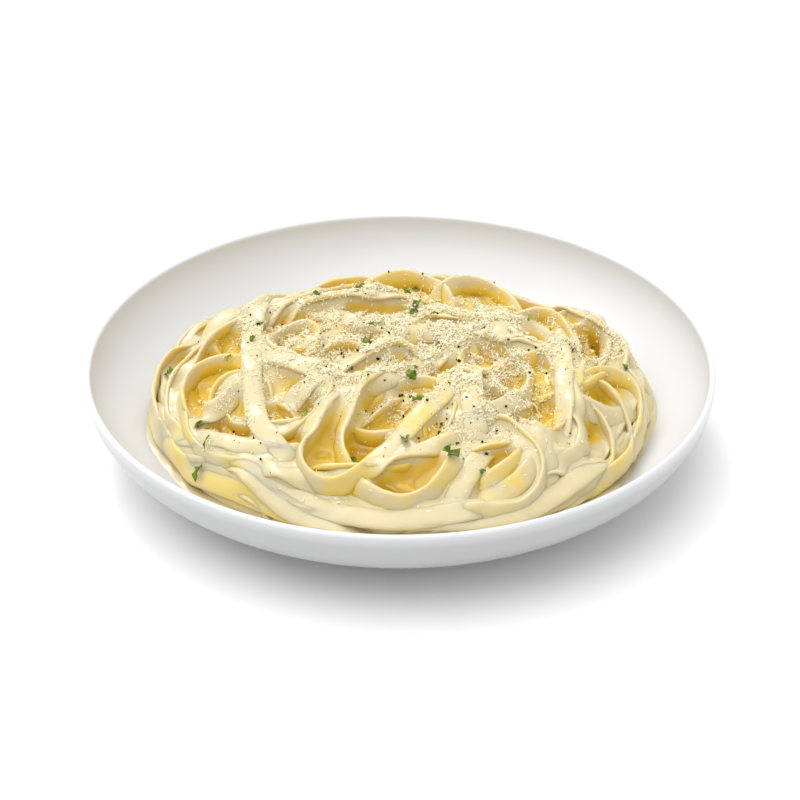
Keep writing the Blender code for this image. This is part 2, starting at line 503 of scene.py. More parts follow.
def cream_material(noodle, cream):
    """Cream sauce: pale, dense and moist, painted darker and more golden where it lies deep between the
    noodles, as painted shade.
    """
    made, nodes, links, shader = new_material("cream", **MOIST)
    coat = tuple(cream.colour)
    mottle = add_mottle(nodes, 110.0, 800.0, 0.4)
    depth = attribute(nodes, "depth")
    gold = blend(noodle.pasta, noodle.hollow, 0.5)
    # Painted shade: the cream turns darker and golden with depth below the heap's skin.
    tone = add_ramp(nodes, links, depth, (
        (0.0, coat), (0.15, coat), (0.42, gold), (0.72, tuple(noodle.hollow))))
    dull = tuple(0.955 * c for c in coat)
    speckle = add_range(nodes, links, mottle.outputs["Mask"], 0.62, 0.72, 0.0, 0.5)
    links.new(add_mix(nodes, links, speckle, tone, dull), shader.inputs["Base Color"])
    add_roughness(nodes, links, shader, mottle.outputs["Height"], 0.35, 0.65, 0.30, 0.42)
    add_bump(nodes, links, shader, mottle.outputs["Height"], 0.3, 0.0009)
    return made


def cheese_material():
    """Grated hard cheese: pale ivory, dry and finely grained."""
    made, nodes, links, shader = new_material(
        "grated_cheese", Roughness=0.6, Specular_IOR_Level=0.3)
    mottle = add_mottle(nodes, 260.0, 2500.0, 0.6)
    tone = add_ramp(nodes, links, mottle.outputs["Mask"], (
        (0.35, (0.96, 0.89, 0.70)), (0.65, (0.91, 0.825, 0.57))))
    links.new(tone, shader.inputs["Base Color"])
    add_bump(nodes, links, shader, mottle.outputs["Height"], 0.4, 0.0004)
    return made


def leaf_material(settings):
    """Chopped parsley: mottled green, dark to light at random, with lighter flecks of a vein colour."""
    made, nodes, links, shader = new_material(
        "parsley_leaf", Subsurface_Weight=0.15, Subsurface_Scale=0.0015,
        Subsurface_Radius=(0.4, 1.0, 0.2), Roughness=0.5, Specular_IOR_Level=0.2)
    mottle = add_mottle(nodes, 420.0, 2200.0, 0.5)
    leaf = tuple(settings.leaf)
    shade = tuple(0.4 * c for c in leaf)
    vein = (0.28, 0.34, 0.04)
    tone = add_ramp(nodes, links, mottle.outputs["Mask"], ((0.32, shade), (0.52, leaf), (0.72, vein)))
    links.new(tone, shader.inputs["Base Color"])
    add_roughness(nodes, links, shader, mottle.outputs["Height"], 0.3, 0.7, 0.3, 0.55)
    add_bump(nodes, links, shader, mottle.outputs["Height"], 0.5, 0.0005)
    return made


def pepper_material():
    """Ground black pepper: near-black husk with brown and grey chips."""
    made, nodes, links, shader = new_material("black_pepper", Roughness=0.7, Specular_IOR_Level=0.3)
    mottle = add_mottle(nodes, 600.0, 3500.0, 0.6)
    tone = add_ramp(nodes, links, mottle.outputs["Mask"], (
        (0.40, (0.008, 0.007, 0.005)), (0.58, (0.035, 0.024, 0.014)), (0.70, (0.16, 0.11, 0.06))))
    links.new(tone, shader.inputs["Base Color"])
    add_roughness(nodes, links, shader, mottle.outputs["Height"], 0.3, 0.7, 0.55, 0.85)
    add_bump(nodes, links, shader, mottle.outputs["Height"], 0.6, 0.0003)
    return made

# ---- The bowl ----------------------------------------------------------------------------------

def quarter_ellipse(start, end, steps):
    """Points from start, where the curve runs level, to end, where it stands upright."""
    turn = np.linspace(0.0, 0.5 * math.pi, steps + 1)
    r = start[0] + (end[0] - start[0]) * np.sin(turn)
    z = end[1] + (start[1] - end[1]) * np.cos(turn)
    return np.stack([r, z], axis=1)


def round_corner(corner, before, after, radius, steps=6):
    """A fillet as a quadratic curve between the points that lie radius before and after a corner."""
    corner, before, after = (np.asarray(p, dtype=float) for p in (corner, before, after))
    start = corner + (before - corner) * radius / np.linalg.norm(before - corner)
    end = corner + (after - corner) * radius / np.linalg.norm(after - corner)
    t = np.linspace(0.0, 1.0, steps + 1)[:, None]
    return (1.0 - t) ** 2 * start + 2.0 * t * (1.0 - t) * corner + t * t * end


def bowl_section():
    """The bowl's section from the middle of its underside, round the lip, to the middle of its floor."""
    lip_level = RIM_HEIGHT - LIP_RADIUS
    foot_inner = FOOT_RADIUS - FOOT_WIDTH
    outer = quarter_ellipse((FOOT_RADIUS, FOOT_HEIGHT), (RIM_RADIUS, lip_level), 40)
    inner_rim = (RIM_RADIUS - 2.0 * LIP_RADIUS, lip_level)
    inner = quarter_ellipse((FLOOR_RADIUS, FLOOR_HEIGHT), inner_rim, 48)[::-1]
    turn = np.linspace(0.0, math.pi, 13)[1:-1]
    lip = np.stack([
        RIM_RADIUS - LIP_RADIUS + LIP_RADIUS * np.cos(turn), lip_level + LIP_RADIUS * np.sin(turn)], axis=1)
    well = (foot_inner - 1.5, FOOT_HEIGHT)
    heel = (foot_inner, 0.0)
    toe = (FOOT_RADIUS - 1.2, 0.0)
    return np.vstack([
        [(0.0, FOOT_HEIGHT), (20.0, FOOT_HEIGHT), (40.0, FOOT_HEIGHT)],
        round_corner(well, (0.0, FOOT_HEIGHT), heel, 0.9),
        round_corner(heel, well, toe, 0.7),
        round_corner(toe, heel, outer[0], 0.7),
        round_corner(outer[0], toe, outer[1], 0.8)[:-1],
        outer[1:], lip, inner,
        [(40.0, FLOOR_HEIGHT), (20.0, FLOOR_HEIGHT), (0.0, FLOOR_HEIGHT)]])

# ---- Laying the noodles ------------------------------------------------------------------------

STEP = 1.2                      # spacing of the points along a noodle
SECTION = 14                    # points round a noodle
TIGHT = 0.019                   # plan curvature, per millimetre, at which a noodle is well up on edge
UPRIGHT = math.radians(84.0)    # steepest bank of a noodle
DIVE = 10.0                     # how far a noodle's ends sink into the heap
DIVE_REACH = 18.0               # over this length
BODY_DROP = 19.0                # the seeded noodles stop this far under the heap's top
BED_DROP = 24.0                 # the first ones lie on a bed this far under it
BED_RISE = 3.0                  # which is this much higher near the heap's outline
CREST_PLACE = (14.0, 46.0)      # middle of the small crest at the back of the heap
CREST_HEIGHT = 3.5
CREST_SPREAD = 15.0


def path_through(points):
    """Plan path through given points: a Catmull-Rom curve, a little rounded, at even steps."""
    points = np.asarray(points, dtype=float)
    full = np.vstack([2.0 * points[0] - points[1], points, 2.0 * points[-1] - points[-2]])
    a, b, c, d = full[:-3, None], full[1:-2, None], full[2:-1, None], full[3:, None]
    t = np.linspace(0.0, 1.0, 24, endpoint=False)[None, :, None]
    curve = 0.5 * (2.0 * b + (c - a) * t + (2.0 * a - 5.0 * b + 4.0 * c - d) * t * t
                   + (3.0 * b - a - 3.0 * c + d) * t ** 3)
    return even_steps(np.vstack([curve.reshape(-1, 2), points[-1:]]))


def even_steps(curve):
    """The same path with its points STEP apart."""
    length = np.concatenate([[0.0], np.cumsum(np.linalg.norm(np.diff(curve, axis=0), axis=1))])
    count = max(8, int(length[-1] / STEP))
    at = np.linspace(0.0, length[-1], count)
    return gauss(np.stack([np.interp(at, length, curve[:, k]) for k in (0, 1)], axis=1), 1.5)


def wandering_paths(rng, count, length):
    """Random plan paths: curvature is smooth noise round a twirl's, and heading its running sum."""
    steps = int(length / STEP)
    s = np.arange(steps) * STEP
    twirl = rng.choice([-1.0, 1.0], count) / rng.uniform(16.0, 60.0, count)
    bend = np.repeat(twirl[:, None], steps, axis=1)
    for size, share in ((170.0, 0.022), (80.0, 0.016), (40.0, 0.009)):
        phase = rng.uniform(0.0, 2.0 * math.pi, count)[:, None]
        scale = rng.uniform(0.7, 1.4, count)[:, None]
        bend += share * np.sin(2.0 * math.pi * s * scale / size + phase)
    heading = rng.uniform(0.0, 2.0 * math.pi, count)[:, None] + np.cumsum(bend, axis=1) * STEP
    walk = np.cumsum(np.stack([np.cos(heading), np.sin(heading)], axis=-1), axis=1) * STEP
    middle = walk.mean(axis=1, keepdims=True)
    radius = HEAP_RADIUS * np.sqrt(rng.uniform(0.0, 1.0, count))
    angle = rng.uniform(0.0, 2.0 * math.pi, count)
    target = np.stack([radius * np.cos(angle), radius * np.sin(angle)], axis=-1)[:, None]
    walk = walk - middle + target
    limit = heap_radius(np.arctan2(walk[..., 1], walk[..., 0])) - 5.0
    return walk[(np.hypot(walk[..., 0], walk[..., 1]) < limit).all(axis=1)]


def lay_noodle(field, plan, width, thickness, lean, press):
    """Lays one noodle on the heap and raises the field by it.

    It banks with its plan curvature, so that it lies flat when straight and stands on edge in a tight
    loop: with lean 1 its top edge tips towards the loop's middle, with -1 away from it. Each point's
    height is the least that clears the field across the noodle, less press times its upright half
    width, and the heights are then spread and smoothed, so that it sags over gaps and humps over what
    it crosses. What stands above the heap's own shape, which rises to a small crest at the back, is
    pressed down to a quarter.
    """
    tangent = np.gradient(plan, axis=0)
    tangent /= np.linalg.norm(tangent, axis=1)[:, None]
    heading = np.unwrap(np.arctan2(tangent[:, 1], tangent[:, 0]))
    bend = gauss(np.gradient(heading) / STEP, 4.0)
    from_end = from_ends(len(plan))
    bank = np.clip(lean * UPRIGHT * np.tanh(bend / TIGHT), -UPRIGHT, UPRIGHT)
    bank *= np.sin(0.5 * math.pi * np.minimum(1.0, 0.2 + from_end / 18.0))
    side = np.stack([-tangent[:, 1], tangent[:, 0]], axis=1)
    across = np.linspace(-0.5, 0.5, 9)[None, :] * width
    flat = np.cos(bank)[:, None] * across
    rise = np.sin(bank)[:, None] * across
    under = sample(
        field, plan[:, 0, None] + side[:, 0, None] * flat, plan[:, 1, None] + side[:, 1, None] * flat)
    need = (under - rise).max(axis=1) + 0.5 * thickness * np.cos(bank)
    need -= press * 0.5 * width * np.abs(np.sin(bank))
    reach = 2
    padded = np.pad(need, reach, mode="edge")
    high = np.max([padded[i:i + len(need)] for i in range(2 * reach + 1)], axis=0)
    height = gauss(high, 5.0)
    height = gauss(np.maximum(height, need - 1.2), 3.0)
    away = (plan[:, 0] - CREST_PLACE[0]) ** 2 + (plan[:, 1] - CREST_PLACE[1]) ** 2
    crest = CREST_HEIGHT * np.exp(-away / (2.0 * CREST_SPREAD ** 2))
    top = heap_height(plan[:, 0], plan[:, 1]) + 1.0 + crest - 0.5 * width * np.abs(np.sin(bank))
    height -= 0.75 * gauss(np.maximum(0.0, height - top), 3.0)
    height -= DIVE * np.maximum(0.0, 1.0 - from_end / DIVE_REACH) ** 2
    outer = np.hypot(plan[:, 0], plan[:, 1]) + 0.5 * width * np.cos(bank) + thickness
    clear = wall_height(outer) + 0.5 * width * np.abs(np.sin(bank)) + thickness
    height = gauss(np.maximum(height, clear), 1.5)
    middle = np.column_stack([plan, height])
    raise_field(field, middle, side, bank, width, thickness)
    return {"middle": middle, "side": side, "bank": bank, "width": width, "thickness": thickness}


def from_ends(count):
    """Distance of each point of a noodle from its nearer end."""
    return np.minimum(np.arange(count), np.arange(count)[::-1]) * STEP


def raise_field(field, middle, side, bank, width, thickness):
    """Writes a noodle's upper surface into the height grid."""
    count = len(middle)
    fine = np.linspace(0, count - 1, count * 3)
    base = np.arange(count)
    centre = np.stack([np.interp(fine, base, middle[:, k]) for k in range(3)], axis=1)
    out = np.stack([np.interp(fine, base, side[:, k]) for k in range(2)], axis=1)
    turn = np.interp(fine, base, bank)
    u = (np.linspace(-0.5, 0.5, 21) * width)[None, :, None]
    v = (np.array([-0.5, 0.0, 0.5]) * thickness)[None, None, :]
    cos = np.cos(turn)[:, None, None]
    sin = np.sin(turn)[:, None, None]
    flat = u * cos - v * sin
    x = centre[:, 0, None, None] + out[:, 0, None, None] * flat
    y = centre[:, 1, None, None] + out[:, 1, None, None] * flat
    z = centre[:, 2, None, None] + u * sin + v * cos
    i = np.clip(np.rint((x + HALF_SPAN) / CELL).astype(int), 0, field.shape[0] - 1)
    j = np.clip(np.rint((y + HALF_SPAN) / CELL).astype(int), 0, field.shape[1] - 1)
    np.maximum.at(field, (i.ravel(), j.ravel()), z.ravel())


# Noodles on top of the heap, laid in this order: (lean, cream on it from 0 to 1, plan points in mm).
TOP_NOODLES = (
    # long arcs round the left side
    (1.3, 0.55, ((-70, 38), (-80, 27), (-92, 12), (-95, 0), (-94, -14), (-90, -28), (-83, -42),
                 (-74, -53), (-62, -61),
                 (-50, -66))),
    (1.3, 0.60, ((-58, 40), (-73, 21), (-82, 9), (-88, -5), (-88, -22), (-83, -36), (-74, -52),
                 (-62, -66), (-44, -80))),
    (1.3, 0.55, ((-42, 34), (-60, 25), (-72, 14), (-79, 1), (-82, -14), (-81, -30), (-76, -46),
                 (-65, -60), (-50, -71),
                 (-38, -75))),
    # bands along the right side and the front
    (1.3, 0.65, ((80, 8), (90, -5), (93, -16), (90, -28), (84, -41), (74, -56), (62, -66), (48, -74))),
    (1.3, 0.55, ((66, -10), (80, -20), (86, -34), (84, -46), (78, -56), (68, -66), (54, -76))),
    (1.2, 0.60, ((60, -18), (72, -32), (78, -44), (76, -56), (66, -68), (50, -79), (34, -86))),
    (0.4, 0.70, ((78, -46), (70, -60), (60, -72), (46, -83), (30, -89), (14, -91), (0, -88))),
    (0.5, 0.75, ((-66, -52), (-52, -68), (-38, -79), (-24, -86), (-8, -90), (8, -91), (24, -88),
                 (40, -80))),
    # low arcs round the front and the left, against the bowl
    (1.3, 0.10, ((-92, -6), (-90, -24), (-84, -42), (-76, -54), (-66, -65), (-54, -75), (-40, -83),
                 (-26, -88), (-12, -91))),
    (0.5, 0.80, ((-62, -58), (-56, -66), (-51, -73), (-45, -79), (-36, -85), (-24, -89), (-10, -92))),
    # right back cluster
    (-0.8, 0.85, ((60, 20), (68, 28), (77, 30), (84, 24), (87, 14), (85, 2), (80, -8))),
    (-0.8, 0.80, ((58, 30), (64, 38), (72, 38), (79, 30), (81, 20), (78, 8), (70, 0))),
    (0.8, 0.80, ((50, 50), (62, 46), (72, 38), (82, 28), (90, 14), (93, 0))),
    # lower left
    (1.2, 0.70, ((-80, -36), (-74, -50), (-64, -61), (-52, -68), (-42, -72), (-30, -77), (-18, -80))),
    (0.6, 0.85, ((-84, -34), (-74, -45), (-63, -53), (-53, -60), (-43, -64), (-33, -61), (-26, -52))),
    (-0.9, 0.45, ((-48, -26), (-57, -14), (-63, -6), (-71, -3), (-78, -8), (-81, -18), (-79, -29),
                 (-72, -36))),
    (0.5, 0.85, ((-48, -8), (-57, -18), (-62, -28), (-69, -34), (-77, -37), (-82, -44))),
    # right side loops
    (-0.9, 0.45, ((62, -32), (67, -22), (73, -14), (81, -9), (88, -11), (90, -20), (87, -32), (80, -42))),
    (0.6, 0.80, ((50, -22), (62, -30), (72, -34), (80, -31), (87, -22), (90, -10))),
    (0.8, 0.85, ((58, -6), (61, -24), (64, -36), (67, -46), (65, -56), (58, -64), (50, -70), (44, -78))),
    (0.5, 0.85, ((36, -40), (45, -46), (52, -52), (54, -60), (53, -70), (46, -80))),
    # front loops
    (0.5, 0.35, ((52, -56), (47, -70), (38, -78), (28, -83), (20, -86))),
    (0.9, 0.45, ((48, -54), (43, -66), (36, -74), (29, -79), (23, -83))),
    (0.95, 0.60, ((30, -40), (39, -48), (46, -57), (51, -67), (50, -76), (44, -83), (34, -87),
                 (22, -89), (10, -89))),
    (0.4, 0.85, ((32, -56), (28, -67), (23, -77), (18, -87), (14, -93))),
    (0.95, 0.60, ((-20, -70), (-14, -79), (-6, -85), (2, -87), (10, -84), (16, -78), (21, -70),
                 (26, -60))),
    (0.25, 0.30, ((34, -6), (26, -20), (18, -33), (10, -45), (1, -56), (-8, -66), (-17, -75))),
    (0.9, 0.60, ((-2, -12), (-10, -24), (-16, -35), (-20, -47), (-22, -59), (-20, -70), (-14, -78))),
    (0.95, 0.60, ((-20, -28), (-28, -44), (-33, -57), (-36, -68), (-32, -76), (-24, -79), (-14, -76),
                 (-3, -70),
                  (8, -65), (19, -60), (30, -52))),
    # upper left
    (0.3, 0.90, ((-52, 44), (-56, 28), (-57, 10), (-56, -8), (-55, -24), (-53, -38), (-50, -51),
                 (-43, -63), (-34, -70))),
    (-0.9, 0.55, ((-36, -16), (-43, -10), (-49, -2), (-49, 10), (-43, 18), (-36, 18), (-32, 8),
                 (-33, -4), (-40, -12))),
    (0.4, 0.80, ((-60, -2), (-52, -9), (-44, -14), (-35, -19), (-26, -23), (-16, -24))),
    (0.5, 0.85, ((-12, -22), (-22, -25), (-31, -29), (-40, -34), (-48, -37))),
    # back
    (-0.9, 0.45, ((-18, 34), (-12, 44), (-4, 52), (5, 54), (13, 49), (18, 38), (20, 26))),
    (-0.9, 0.45, ((12, 34), (20, 44), (28, 50), (36, 49), (43, 40), (46, 28))),
    (0.5, 0.70, ((-48, 24), (-38, 33), (-24, 37), (-10, 36), (4, 35), (16, 31))),
    (0.7, 0.55, ((-56, 22), (-46, 33), (-34, 42), (-20, 47), (-6, 48))),
    (0.3, 0.35, ((2, 28), (13, 25), (24, 21), (34, 16), (44, 10), (54, 2))),
    (0.5, 0.70, ((6, 16), (18, 13), (29, 9), (40, 4), (50, 1), (58, -7), (62, -18))),
    (-0.9, 0.45, ((38, 14), (46, 24), (54, 29), (61, 25), (66, 13), (67, -2), (65, -18), (63, -34))),
    (-0.6, 0.65, ((36, 12), (46, 16), (54, 15), (59, 5), (61, -9), (61, -24), (60, -40), (57, -52))),
    # middle
    (-0.5, 0.60, ((-20, -6), (-8, 0), (2, 5), (12, 7), (22, 3), (31, -6))),
    (0.5, 0.70, ((-30, -24), (-20, -15), (-10, -7), (2, -1), (12, -4))),
    (0.9, 0.75, ((10, -24), (20, -22), (30, -27), (38, -34), (45, -33), (49, -22), (49, -8))),
    (0.6, 0.80, ((48, -28), (42, -38), (34, -46), (26, -50), (16, -50))),
    (0.2, 0.80, ((25, -14), (26, -26), (26, -38), (27, -50), (29, -60))),
)


def rim_paths(rng, count):
    """Noodles that follow the heap's outline: rings of four arcs at shares of its radius, wavering."""
    paths = []
    for turn in range(count):
        share = (0.975, 0.91, 0.95, 0.86)[turn // 4 % 4]
        start = 0.5 * math.pi * turn + 1.1 * (turn // 4) + rng.uniform(-0.3, 0.3)
        angle = np.linspace(start, start + rng.uniform(1.7, 2.2), 160)
        r = heap_radius(angle) * (share + 0.012 * np.sin(4.0 * angle + rng.uniform(0.0, 6.0))) - 2.0
        paths.append(even_steps(np.stack([r * np.cos(angle), r * np.sin(angle)], axis=1)))
    return paths


def lay_heap(noodle):
    """Lays seeded noodles where the heap is lowest, then the top ones. Returns noodles and field."""
    rng = np.random.default_rng(noodle.seed)
    x, y = grid_points()
    r = np.hypot(x, y)
    width = noodle.width / MM
    thickness = noodle.thickness / MM
    target = heap_height(x, y) - BODY_DROP
    share = np.clip((r / heap_radius(np.arctan2(y, x)) - 0.70) / 0.20, 0.0, 1.0)
    bed = heap_height(x, y) - BED_DROP + BED_RISE * share
    field = np.maximum(wall_height(np.minimum(r, RIM_RADIUS - 3.0)), bed)
    laid = []
    for plan in rim_paths(rng, 12):
        wide = width * rng.uniform(0.92, 1.06)
        strand = lay_noodle(field, plan, wide, thickness, rng.uniform(0.5, 1.0), 0.5)
        strand["cream"] = rng.uniform(0.3, 0.8)
        laid.append(strand)
    for _ in range(noodle.strands):
        paths = wandering_paths(rng, 160, noodle.length / MM * rng.uniform(0.45, 1.0))
        lack = sample(target - field, paths[..., 0], paths[..., 1])
        r = np.hypot(paths[..., 0], paths[..., 1])
        climb = np.abs(np.gradient(r, axis=1)) / STEP * np.clip((r - 55.0) / 30.0, 0.0, 1.0)
        gain = np.minimum(lack, 6.0).mean(axis=1) + 0.4 * np.minimum(lack, 0.0).min(axis=1)
        score = gain - 9.0 * climb.mean(axis=1)
        plan = gauss(paths[np.argmax(score)], 1.0)
        lean = rng.choice([-1.0, 1.0])
        strand = lay_noodle(field, plan, width * rng.uniform(0.92, 1.06), thickness, lean, 0.55)
        strand["cream"] = rng.uniform(0.1, 0.75)
        laid.append(strand)
    for lean, cream, points in TOP_NOODLES:
        wide = width * rng.uniform(0.96, 1.06)
        strand = lay_noodle(field, path_through(points), wide, thickness, lean, 0.35)
        strand["cream"] = cream
        laid.append(strand)
    return laid, field


def noodle_surface(strand, index):
    """Points of one noodle: a rounded flat section, a little cupped, carried along its banked path.

    Round the section the half sizes are raised by a super-ellipse with power 0.5, which gives round edges
    and flat faces, and smooth noise along the noodle thickens it where the cream clings.
    """
    middle = strand["middle"]
    count = len(middle)
    tangent = np.gradient(middle, axis=0)
    tangent /= np.linalg.norm(tangent, axis=1)[:, None]
    side = np.column_stack([strand["side"], np.zeros(count)])
    up = np.cross(tangent, side)
    up /= np.linalg.norm(up, axis=1)[:, None]
    side = np.cross(up, tangent)
    cos = np.cos(strand["bank"])[:, None]
    sin = np.sin(strand["bank"])[:, None]
    wide = side * cos + up * sin
    thin = up * cos - side * sin
    turn = 2.0 * math.pi * (np.arange(SECTION) + 0.5) / SECTION
    u = np.sign(np.cos(turn)) * np.abs(np.cos(turn)) ** 0.75
    v = np.sign(np.sin(turn)) * np.abs(np.sin(turn)) ** 0.75
    end = np.minimum(1.0, (from_ends(count) + 0.6) / 2.0) ** 0.5
    half_wide = 0.5 * strand["width"] * (1.0 + 0.035 * ripple(middle, 30.0, index))
    half_thin = 0.5 * strand["thickness"] * end
    cup = 0.35 * ripple(middle, 45.0, index + 500) * np.ones(count)
    across = half_wide[:, None] * u[None, :]
    along_thin = half_thin[:, None] * v[None, :] + cup[:, None] * (u[None, :] ** 2 - 0.4)
    points = middle[:, None] + wide[:, None] * across[..., None] + thin[:, None] * along_thin[..., None]
    outward = wide[:, None] * (u / strand["width"])[None, :, None]
    outward = outward + thin[:, None] * (v / strand["thickness"])[None, :, None]
    outward /= np.linalg.norm(outward, axis=-1)[..., None]
    clot = np.maximum(0.0, ripple(points, 9.0, 31)) * 0.30 + 0.06 * ripple(points, 3.5, 32)
    points = points + outward * (clot * (0.35 + strand["cream"]))[..., None]
    return points, outward[..., 2]


def hollow_depth(ceiling, x, y, z):
    """Depth below the heap's skin, 0 to 1 over nine millimetres, fading out near the heap's outline; the
    materials paint shade with it.
    """
    inside = np.clip((heap_radius(np.arctan2(y, x)) - np.hypot(x, y) - 3.0) / 10.0, 0.0, 1.0)
    return inside * np.clip((sample(ceiling, x, y) - z - 1.5) / 8.0, 0.0, 1.0)


def strands_to_piece(name, strands, first_index, ceiling, finish):
    """Joins noodles into one piece with their depth below the heap's skin, for painted shade, and their share
    of cream, which is lower deep in the heap.
    """
    points = []
    quads = []
    triangles = []
    depth = []
    coat = []
    offset = 0
    for index, strand in enumerate(strands):
        grid, facing = noodle_surface(strand, first_index + index)
        facing = np.concatenate([facing.ravel(), [0.0, 0.0]])
        count = len(grid)
        flat = grid.reshape(-1, 3)
        ends = np.stack([grid[0].mean(axis=0), grid[-1].mean(axis=0)])
        body = np.vstack([flat, ends])
        low = offset + count * SECTION
        ring = np.arange(SECTION)
        after = (ring + 1) % SECTION
        quads.append(grid_faces(count, SECTION, wrap_columns=True)[:, ::-1] + offset)
        triangles.append(np.stack([np.full(SECTION, low), ring + offset, after + offset], axis=1)[:, ::-1])
        last = offset + (count - 1) * SECTION
        triangles.append(np.stack([np.full(SECTION, low + 1), after + last, ring + last], axis=1)[:, ::-1])
        depth.append(hollow_depth(ceiling, body[:, 0], body[:, 1], body[:, 2]))
        patch = 0.32 * ripple(body, 26.0, 77) + 0.18 * ripple(body, 9.0, 78)
        # Cream share: more on up-facing sides, less with depth, so deep parts show the painted shade of the
        # bare colour.
        coat.append(np.clip(strand["cream"] + 0.55 * (facing - 0.4) + patch - 1.4 * depth[-1], 0.0, 1.0))
        points.append(body)
        offset += len(body)
    return make_piece(
        name, np.vstack(points), np.vstack(quads), np.vstack(triangles), finish,
        {"depth": np.concatenate(depth), "coat": np.concatenate(coat)})


HEAP = {}


def heap():
    """The laid noodles, the field they make and the levels worked out from it, made once."""
    if not HEAP:
        scene = bpy.context.scene
        strands, field = lay_heap(scene.pasta_noodles)
        shaved = spread(closed(field, 0.5 * scene.pasta_cream.gap / MM), 1.0, np.minimum)
        HEAP["strands"] = strands
        HEAP["field"] = field
        HEAP["filled"] = smooth_field(shaved, 1.6)
        HEAP["bottom"] = smooth_field(closed(field, 4.5), 2.0)
        HEAP["ceiling"] = smooth_field(closed(field, 8.0), 3.0)
        sink_scraps(HEAP)
    return HEAP


def sink_scraps(laid):
    """Lowers noodles into the cream where, in a hollow, only a short edge of them would stick out of it."""
    for strand in laid["strands"]:
        x, y, z = strand["middle"].T
        top = z + 0.5 * strand["width"] * np.abs(np.sin(strand["bank"])) + 0.5 * strand["thickness"]
        out = top - cream_level(laid, x, y)
        bounds = np.flatnonzero(np.diff(np.concatenate([[0], (out > 0.3).astype(int), [0]])))
        sink = np.zeros(len(out))
        for start, end in bounds.reshape(-1, 2):
            if (end - start) * STEP < 26.0:
                sink[start:end] = out[start:end] + 1.5
        sink *= np.clip((sample(laid["ceiling"], x, y) - top - 1.0) / 1.5, 0.0, 1.0)
        strand["middle"][:, 2] -= 1.3 * gauss(sink, 2.5)

# ---- Cream -------------------------------------------------------------------------------------

def cream_level(laid, x, y):
    """The cream between the noodles: up to the filled gaps, and about 10 mm below the skin at most."""
    here = np.stack([x, y], axis=-1)
    drop = 0.55 + 0.5 * ripple(here, 34.0, 41) + 0.25 * ripple(here, 11.0, 42)
    ceiling = sample(laid["ceiling"], x, y)
    inside = np.clip((heap_radius(np.arctan2(y, x)) - np.hypot(x, y) - 10.0) / 8.0, 0.0, 1.0)
    bottom = np.minimum(sample(laid["bottom"], x, y) - 1.0, ceiling - 6.5)
    bottom = np.maximum(bottom, ceiling - 10.0 - 2.0 * drop) - 30.0 * (1.0 - inside)
    cheese = cheese_cover(x, y)
    return np.maximum(sample(laid["filled"], x, y) - drop + 1.2 * cheese, bottom + 2.0 * cheese)


def make_core(laid, finish):
    """The mass under the noodles: cream level above, the bowl's inner surface below, one closed shell."""
    count = CORE_COUNT
    x, y = disc_grid(count)
    reach = heap_radius(np.arctan2(y, x)) - CORE_INSET
    x = x * reach
    y = y * reach
    floor = wall_height(np.hypot(x, y)) + WALL_GAP
    top = np.maximum(cream_level(laid, x, y), floor + 0.1)
    upper = np.stack([x, y, top], axis=-1).reshape(-1, 3)
    edge = grid_edge(count, count)
    lower = np.column_stack([upper[edge, :2], floor.ravel()[edge]])
    ring = count * count + np.arange(len(edge))
    quads = np.vstack([
        grid_faces(count, count)[:, ::-1],
        np.stack([edge, np.roll(edge, -1), np.roll(ring, -1), ring], axis=1)])
    hub = np.array([[0.0, 0.0, FLOOR_HEIGHT + WALL_GAP]])
    fan = np.stack([np.roll(ring, -1), np.full(len(ring), ring[-1] + 1), ring], axis=1)
    # Depth below the heap's skin, for painted shade on the cream's top.
    depth = np.concatenate([hollow_depth(laid["ceiling"], x, y, top).ravel(), np.zeros(len(ring) + 1)])
    return make_piece("cream_in_heap", np.vstack([upper, lower, hub]), quads, fan, finish, {"depth": depth})


def make_skirt(finish):
    """The sauce on the bowl's wall: a ring that thins out as a power of one minus its share squared."""
    steps = 480
    across = 18
    angle = 2.0 * math.pi * np.arange(steps) / steps
    inner = heap_radius(angle) - SKIRT_INNER
    outer = heap_radius(angle) - SKIRT_OUTER + SKIRT_WIDTH * waves(angle, SAUCE_WAVES)
    share = np.sin(0.5 * math.pi * np.arange(across + 1) / across)
    r = inner[:, None] + (outer - inner)[:, None] * share[None, :]
    floor = wall_height(r) - SKIRT_SINK
    angle = angle[:, None]
    here = around(r, angle, floor)[..., :2]
    thick = (SKIRT_THICK + 0.5 * ripple(here, 14.0, 51)) * ((1.0 - share ** 2) ** 1.15)[None, :]
    top = floor + 0.25 + thick
    r = np.concatenate([r, r[:, -2:0:-1]], axis=1)
    z = np.concatenate([top, floor[:, -2:0:-1]], axis=1)
    points = around(r, angle, z)
    columns = points.shape[1]
    return make_piece(
        "sauce_skirt", points.reshape(-1, 3), grid_faces(steps, columns, True, True)[:, ::-1], None, finish,
        {"depth": np.zeros(points.shape[0] * columns)})

# ---- Cheese, parsley and pepper ----------------------------------------------------------------

def random_turns(rng, count, tip):
    """Rotation matrices: any turn about Z after a tip of up to this many radians about X and Y."""
    yaw = rng.uniform(0.0, 2.0 * math.pi, count)
    pitch = rng.normal(0.0, tip, count)
    roll = rng.normal(0.0, tip, count)
    cy, cp, cr = (np.cos(angle) for angle in (yaw, pitch, roll))
    sy, sp, sr = (np.sin(angle) for angle in (yaw, pitch, roll))
    zero = np.zeros(count)
    one = np.ones(count)
    rz = np.stack([cy, -sy, zero, sy, cy, zero, zero, zero, one], axis=1).reshape(-1, 3, 3)
    ry = np.stack([cp, zero, sp, zero, one, zero, -sp, zero, cp], axis=1).reshape(-1, 3, 3)
    rx = np.stack([one, zero, zero, zero, cr, -sr, zero, sr, cr], axis=1).reshape(-1, 3, 3)
    return rz @ ry @ rx


